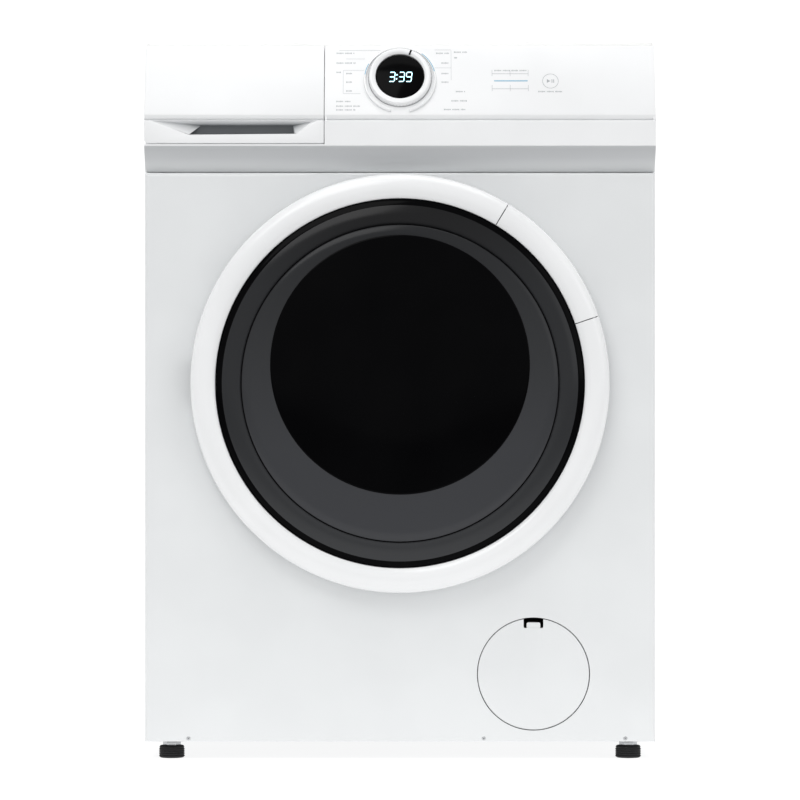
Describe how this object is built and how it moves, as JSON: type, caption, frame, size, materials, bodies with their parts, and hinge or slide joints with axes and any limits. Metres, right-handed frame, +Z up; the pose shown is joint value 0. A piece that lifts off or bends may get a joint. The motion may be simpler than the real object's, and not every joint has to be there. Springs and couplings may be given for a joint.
{
  "type": "front load washing machine",
  "caption": "White front-load washing machine with a round smoked door, a ring handle, a dial, a detergent drawer and a spinning drum on springs.",
  "frame": {"origin": "on the floor under the middle of the machine's box", "axes": "+Z up, the door faces -Y, +X to the right as seen from the front"},
  "size_m": [0.595, 0.565, 0.84],
  "materials": {
    "enamel_white": "smooth white enamel on sheet steel",
    "plastic_white": "moulded white ABS, satin gloss",
    "plastic_grey": "moulded grey polypropylene",
    "plastic_black": "glossy black plastic",
    "window_smoked": "smoked polycarbonate, polished",
    "glass_clear": "pressed clear glass",
    "rubber_black": "moulded black rubber",
    "rubber_grey": "moulded grey rubber",
    "steel": "bare or stainless steel",
    "aluminium_cast": "die-cast aluminium",
    "concrete": "cast concrete, rough",
    "motor_steel": "dark painted motor",
    "circuit_board": "circuit board in its carrier"
  },
  "bodies": {
    "root": {"left_side_panel": "enamel_white", "right_side_panel": "enamel_white", "rear_panel": "enamel_white", "rear_cover": "enamel_white", "front_panel": "enamel_white", "base_pan": "plastic_grey", "top_panel": "plastic_white", "control_fascia": "plastic_white", "display_lens": "plastic_black", "control_board": "circuit_board", "dispenser_housing": "plastic_white", "inlet_valve": "plastic_white", "door_lock": "plastic_grey", "hinge_bracket": "steel", "drain_pump": "plastic_grey", "drain_hose": "rubber_grey", "damper_cylinder_left": "plastic_grey", "damper_cylinder_right": "plastic_grey", "cord_gland": "plastic_black"},
    "drawer": {"drawer_front": "plastic_white", "detergent_drawer": "plastic_white", "siphon_cap": "plastic_grey"},
    "door": {"door_frame": "plastic_white", "door_window": "window_smoked", "door_inner_frame": "plastic_grey", "door_glass": "glass_clear", "hinge_leaf": "steel"},
    "handle": {"door_handle": "plastic_white"},
    "hook": {"door_hook": "steel"},
    "knob": {"programme_knob": "plastic_white"},
    "flap": {"filter_flap": "plastic_white"},
    "filter": {"pump_filter": "plastic_white"},
    "impeller": {"pump_impeller": "plastic_grey"},
    "tub": {"tub_front": "plastic_grey", "tub_rear": "plastic_grey", "front_bearing": "steel", "rear_bearing": "steel", "upper_counterweight": "concrete", "lower_counterweight": "concrete", "motor": "motor_steel", "heater": "steel", "drive_belt": "rubber_black", "damper_rod_left": "steel", "damper_rod_right": "steel", "spring_left": "steel", "spring_right": "steel", "door_gasket": "rubber_grey", "sump_hose": "rubber_black", "fill_hose": "rubber_black"},
    "drum": {"drum": "steel", "drum_spider": "aluminium_cast", "drum_pulley": "aluminium_cast", "paddle_1": "plastic_white", "paddle_2": "plastic_white", "paddle_3": "plastic_white"},
    "motor_shaft": {"motor_pulley": "steel"},
    "foot_body_1": {"foot_1": "rubber_black"},
    "foot_body_2": {"foot_2": "rubber_black"},
    "foot_body_3": {"foot_3": "rubber_black"},
    "foot_body_4": {"foot_4": "rubber_black"}
  },
  "joints": [
    {"name": "drawer_slide", "type": "slide", "parent": "root", "child": "drawer", "axis": [0, -1, 0], "range_m": [0, 0.2]},
    {"name": "door_hinge", "type": "hinge", "parent": "root", "child": "door", "pos_m": [-0.2335, -0.2655, 0.439], "axis": [0, 0, -1], "range_deg": [0, 120]},
    {"name": "door_handle_pull", "type": "hinge", "parent": "door", "child": "handle", "pos_m": [0.16027, -0.272, 0.56763], "axis": [0.6259, 0, -0.7799], "range_deg": [0, 12], "stiffness_Nm_per_rad": 1.5, "springref_deg": -11.46},
    {"name": "door_hook_turn", "type": "hinge", "parent": "door", "child": "hook", "pos_m": [0.2215, -0.263, 0.439], "axis": [0, 0, 1], "range_deg": [0, 12]},
    {"name": "programme_knob_turn", "type": "hinge", "parent": "root", "child": "knob", "pos_m": [0, -0.24172, 0.7954], "axis": [0, -0.9354, 0.3535], "continuous": true},
    {"name": "filter_flap_hinge", "type": "hinge", "parent": "root", "child": "flap", "pos_m": [0.1556, -0.2463, 0.0422], "axis": [1, 0, 0], "range_deg": [0, 90]},
    {"name": "pump_filter_unscrew", "type": "hinge", "parent": "root", "child": "filter", "pos_m": [0.1556, -0.2385, 0.1002], "axis": [0, -1, 0], "range_deg": [0, 180]},
    {"name": "pump_impeller_spin", "type": "hinge", "parent": "root", "child": "impeller", "pos_m": [0.1556, -0.1335, 0.1002], "axis": [0, -1, 0], "continuous": true},
    {"name": "tub_float", "type": "slide", "parent": "root", "child": "tub", "axis": [0, 0, 1], "range_m": [-0.008, 0.008], "stiffness_N_per_m": 40000, "springref_m": 0.00686, "deforming": ["spring_left", "spring_right", "door_gasket", "sump_hose", "fill_hose"]},
    {"name": "drum_spin", "type": "hinge", "parent": "tub", "child": "drum", "pos_m": [0, 0, 0.439], "axis": [0, -1, 0], "continuous": true},
    {"name": "motor_spin", "type": "hinge", "parent": "tub", "child": "motor_shaft", "pos_m": [0.075, 0.2, 0.118], "axis": [0, -1, 0], "continuous": true},
    {"name": "foot_1_turn", "type": "hinge", "parent": "root", "child": "foot_body_1", "pos_m": [-0.268, -0.2115, 0], "axis": [0, 0, 1], "continuous": true},
    {"name": "foot_2_turn", "type": "hinge", "parent": "root", "child": "foot_body_2", "pos_m": [0.268, -0.2115, 0], "axis": [0, 0, 1], "continuous": true},
    {"name": "foot_3_turn", "type": "hinge", "parent": "root", "child": "foot_body_3", "pos_m": [-0.268, 0.2315, 0], "axis": [0, 0, 1], "continuous": true},
    {"name": "foot_4_turn", "type": "hinge", "parent": "root", "child": "foot_body_4", "pos_m": [0.268, 0.2315, 0], "axis": [0, 0, 1], "continuous": true}
  ],
  "couplings": [
    {"joint": "door_hook_turn", "follows": "door_handle_pull", "ratio": 1},
    {"joint": "motor_spin", "follows": "drum_spin", "ratio": 12.273}
  ]
}
